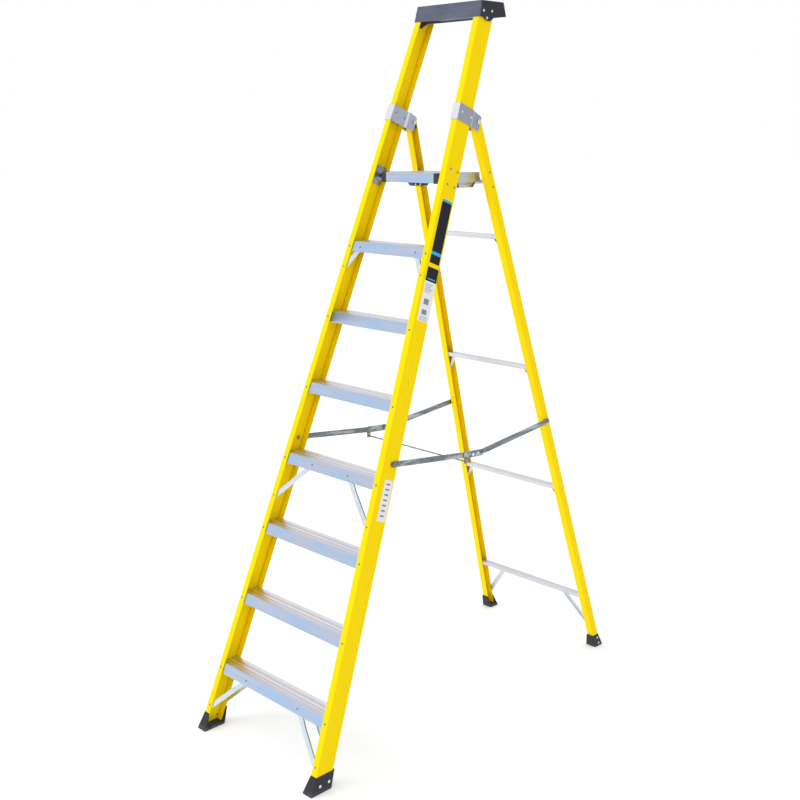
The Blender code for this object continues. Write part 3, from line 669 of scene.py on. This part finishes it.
def build_elbow_pressings(metal):
    """Raised ring and n-shaped lug pressed into each elbow plate."""
    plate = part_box("stay_joint_plate_right")[1].x
    lug_y, lug_z = LUG_CENTRE
    for side, label in SIDES:
        bm = bmesh.new()
        ring = ((0.0062, -SUNK), (0.0062, 0.0004), (0.0054, 0.0009), (0.0044, 0.0009))
        ring += ((0.0038, 0.0003), (0.0010, 0.0003))
        lathe(bm, (side * plate, *RING_CENTRE), (side, 0.0, 0.0), ring, 24)
        outline = []
        for radius, start, end in ((LUG_OUTER, 0, 180), (LUG_INNER, 180, 0)):
            for i in range(9):
                angle = math.radians(start + (end - start) * i / 8)
                outline.append((lug_y + radius * math.cos(angle), lug_z + radius * math.sin(angle)))
        outline.insert(9, (lug_y - LUG_OUTER, LUG_FOOT))
        outline.insert(10, (lug_y - LUG_INNER, LUG_FOOT))
        outline += [(lug_y + LUG_INNER, LUG_FOOT), (lug_y + LUG_OUTER, LUG_FOOT)]
        near = [(side * (plate - SUNK), y, z) for y, z in outline]
        far = [(side * (plate + LUG_HEIGHT), y, z) for y, z in outline]
        prism(bm, near, far)
        piece(f"stay_plate_pressing_{label}", bm, metal, "front_stays")


# Labels ------------------------------------------------------------------------------
FILM = 0.00025


def film(bm, depths, runs, lift=0.0):
    """Thin rounded panel on the right stile's web, square across the rail."""
    radius = min(0.0020, (runs[1] - runs[0]) * 0.4, (depths[1] - depths[0]) * 0.4)
    outline = []
    for depth, run, start in (
        (depths[1] - radius, runs[1] - radius, 0),
        (depths[0] + radius, runs[1] - radius, 90),
        (depths[0] + radius, runs[0] + radius, 180),
        (depths[1] - radius, runs[0] + radius, 270),
    ):
        for step in range(4):
            angle = math.radians(start + 30 * step)
            outline.append((depth + radius * math.cos(angle), run + radius * math.sin(angle)))
    near = [FRONT.run_point(1, SUNK, depth, run) for depth, run in outline]
    far = [FRONT.run_point(1, -(FILM + lift), depth, run) for depth, run in outline]
    prism(bm, near, far)


def label(name, panels, material, lift=0.0):
    bm = bmesh.new()
    for depths, runs in panels:
        film(bm, depths, runs, lift)
    return piece(name, bm, material, "front_frame")


def build_labels():
    """Plain colour panels; grey rules stand where a real label carries print."""
    dark = vinyl("label_dark", (0.006, 0.006, 0.012), (0.012, 0.012, 0.020))
    blue = vinyl("label_blue", (0.010, 0.40, 0.72), (0.020, 0.46, 0.80))
    white = vinyl("label_white", (0.78, 0.78, 0.84), (0.88, 0.88, 0.93))
    grey = vinyl("label_grey", (0.22, 0.22, 0.25), (0.30, 0.30, 0.33))
    wide = (0.0135, 0.0625)
    full = (0.0120, 0.0665)
    label("label_panel_upper", [(wide, (1.8126, 2.0285))], dark)
    label("label_band_upper", [(wide, (2.0290, 2.0367)), (wide, (1.8420, 1.8532))], blue, 0.00005)
    label("label_panel_middle", [(full, (1.7498, 1.7980))], dark)
    label("label_rule_middle", [((0.020, 0.058), (1.7560, 1.7600))], blue, 0.0001)
    label("label_panel_lower", [(full, (1.6104, 1.7493))], white)
    narrow = (0.0240, 0.0625)
    label("label_panel_small", [(narrow, (0.9208, 1.0624))], white)
    rules = []
    for i in range(6):
        run = 1.7400 - 0.0055 * i
        rules.append(((0.019, 0.056 - 0.006 * (i % 3)), (run - 0.0009, run + 0.0009)))
    for low, high in ((1.6700, 1.6900), (1.6350, 1.6520)):
        rules.append(((0.026, 0.050), (low, high)))
    for i in range(4):
        run = 1.6280 - 0.0045 * i
        rules.append(((0.022, 0.058), (run - 0.0007, run + 0.0007)))
    for i in range(7):
        run = 1.0480 - 0.0180 * i
        rules.append(((0.034, 0.053), (run - 0.0030, run + 0.0030)))
    label("label_rules", rules, grey, 0.0001)


# Finish of the CAD nodes -------------------------------------------------------------
def soften(node, width, segments=2):
    """Small rolled edge, so that corners catch light."""
    weld = NODES[node].modifiers.new("weld", "WELD")
    weld.merge_threshold = 0.00001
    bevel = NODES[node].modifiers.new("rolled_edge", "BEVEL")
    bevel.width = width
    bevel.segments = segments
    bevel.limit_method = "ANGLE"
    bevel.angle_limit = math.radians(38)
    bevel.use_clamp_overlap = True
    bevel.harden_normals = False


def dress(material, *stems):
    for name, node in NODES.items():
        if name.startswith(stems):
            node.data.materials.clear()
            node.data.materials.append(material)


def dress_all():
    corner = FRONT.point(1, 0.0, FRONT_DEPTH - FRONT_WALL, 1.0)
    fibre = glass_fibre("front_glass_fibre", FRONT.lean, corner, -FRONT.forward())
    dress(fibre, "front_stile_")
    corner = REAR.point(1, 0.0, REAR_WALL, 1.0)
    fibre = glass_fibre("rear_glass_fibre", -REAR.lean, corner, -REAR.forward())
    dress(fibre, "rear_stile_left", "rear_stile_right")
    for index in range(TREAD_COUNT):
        stem = f"tread_{index + 1}"
        dress(tread_aluminium(f"{stem}_aluminium", stem), stem)
    dress(tread_aluminium("deck_aluminium", "platform_deck"), "platform_deck")
    pale, shade = (0.76, 0.76, 0.81), (0.62, 0.62, 0.67)
    bar = drawn_aluminium("bar_aluminium", (2.0, 330.0, 330.0), pale, shade)
    dress(bar, "back_bar_", "platform_rest_tube")
    pale, shade = (0.46, 0.49, 0.58), (0.40, 0.44, 0.55)
    pressed = drawn_aluminium("pressed_aluminium", (420.0, 420.0, 9.0), pale, shade)
    dress(pressed, "platform_pivot_bracket_", "rest_bracket_")
    fold = FRONT.point(1, 0.0, FRONT_DEPTH + HINGE_FOLD, HINGE_HEIGHT)
    dress(folded_aluminium("hinge_aluminium", fold, -FRONT.forward()), "hinge_bracket_")
    strip = drawn_aluminium("strip_aluminium", (260.0, 600.0, 60.0), (0.66, 0.74, 0.82))
    dress(strip, "tread_brace_", "bottom_brace_")
    side = drawn_aluminium("side_aluminium", (600.0, 4.0, 600.0), (0.56, 0.59, 0.66))
    dress(side, "platform_side_")
    steel = zinc_plate("zinc_steel", (0.13, 0.15, 0.17), (0.24, 0.27, 0.30), (0.52, 0.56, 0.62))
    dress(steel, "front_stay_", "rear_stay_left", "rear_stay_right", "stay_")
    bright = rivet_metal("bright_rivet_metal", (0.66, 0.68, 0.74), (0.88, 0.90, 0.94))
    dress(bright, "hinge_bolt_")
    black = moulded("black_plastic", (0.012, 0.013, 0.018), (0.022, 0.024, 0.032), 0.42)
    dress(black, "platform_end_cap_", "platform_hook_", "rear_stile_plug_")
    dress(tray_plastic("tray_plastic"), "top_tray")
    rubber = boot_rubber("rubber_boot")
    dress(rubber, "front_foot_", "rear_foot_")
    return side, bright, rubber


def soften_all():
    for side in ("left", "right"):
        for stem, width in (
            ("front_foot", 0.0012), ("rear_foot", 0.0010), ("platform_end_cap", 0.0008),
            ("platform_hook", 0.0006), ("hinge_bracket", 0.0005), ("platform_side", 0.0006),
            ("platform_pivot_bracket", 0.0006), ("front_stay", 0.0005),
        ):
            soften(f"{stem}_{side}", width)
    soften("top_tray", 0.0016)
    soften("platform_deck", 0.0003, 1)
    for index in range(TREAD_COUNT):
        soften(f"tread_{index + 1}", 0.0003, 1)


# Studio ------------------------------------------------------------------------------
def build_floor():
    bm = bmesh.new()
    bmesh.ops.create_grid(bm, x_segments=8, y_segments=8, size=60.0)
    mesh = bpy.data.meshes.new("floor")
    bm.to_mesh(mesh)
    bm.free()
    look = Look("floor_paper", specular=0.0)
    mottle = look.noise(look.stretched((2.0, 2.0, 2.0)), detail=2.0)
    look.paint(look.blend(look.spread(mottle, 0.0, 1.0), (0.90, 0.90, 0.90), (0.93, 0.93, 0.93)))
    look.polish(0.9)
    look.shader.inputs["Emission Color"].default_value = (1.0, 1.0, 1.0, 1.0)
    look.shader.inputs["Emission Strength"].default_value = 0.22
    mesh.materials.append(look.material)
    floor = bpy.data.objects.new("floor", mesh)
    bpy.context.scene.collection.objects.link(floor)


def build_world():
    """White studio: bright in front and to the left of the ladder, dimmer behind it."""
    world = bpy.data.worlds.new("studio")
    world.use_nodes = True
    tree = world.node_tree
    background = tree.nodes["Background"]
    background.inputs["Color"].default_value = (1.0, 1.0, 1.0, 1.0)
    place = tree.nodes.new("ShaderNodeTexCoord")
    toward = tree.nodes.new("ShaderNodeVectorMath")
    toward.operation = "DOT_PRODUCT"
    toward.inputs[1].default_value = Vector((-0.80, -0.55, 0.25)).normalized()
    fall = tree.nodes.new("ShaderNodeMapRange")
    fall.inputs["From Min"].default_value = -0.9
    fall.inputs["From Max"].default_value = 0.6
    fall.inputs["To Min"].default_value = 0.62
    fall.inputs["To Max"].default_value = 1.08
    path = tree.nodes.new("ShaderNodeLightPath")
    choose = tree.nodes.new("ShaderNodeMix")
    choose.inputs["B"].default_value = 1.0
    tree.links.new(place.outputs["Generated"], toward.inputs[0])
    tree.links.new(toward.outputs["Value"], fall.inputs["Value"])
    tree.links.new(path.outputs["Is Camera Ray"], choose.inputs["Factor"])
    tree.links.new(fall.outputs["Result"], choose.inputs["A"])
    tree.links.new(choose.outputs["Result"], background.inputs["Strength"])
    bpy.context.scene.world = world


def build_light(name, place, target, size, power):
    light = bpy.data.lights.new(name, "AREA")
    light.shape = "DISK"
    light.size = size
    light.energy = power
    obj = bpy.data.objects.new(name, light)
    obj.location = place
    aim = Vector(target) - Vector(place)
    obj.rotation_euler = aim.to_track_quat("-Z", "Y").to_euler()
    obj.visible_glossy = False
    bpy.context.scene.collection.objects.link(obj)


def build_camera():
    camera = bpy.data.cameras.new("camera")
    camera.lens = CAMERA_LENS
    camera.sensor_width = SENSOR_WIDTH
    obj = bpy.data.objects.new("camera", camera)
    obj.location = CAMERA_PLACE
    obj.rotation_euler = (math.radians(90.0 + CAMERA_PITCH), 0.0, math.radians(CAMERA_YAW))
    bpy.context.scene.collection.objects.link(obj)
    bpy.context.scene.camera = obj


build_camera()
side_metal, bright, rubber = dress_all()
soften_all()
build_hook_plates(side_metal)
metal = rivet_metal("rivet_metal", (0.16, 0.19, 0.31), (0.34, 0.38, 0.54))
build_rivets(metal, bright, rubber)
build_elbow_pressings(bright)
build_labels()
build_floor()
build_world()
build_light("key", place=(-3.0, -5.5, 4.5), target=(0.0, 0.0, 1.3), size=3.5, power=90.0)
bpy.context.scene.view_settings.view_transform = "Standard"
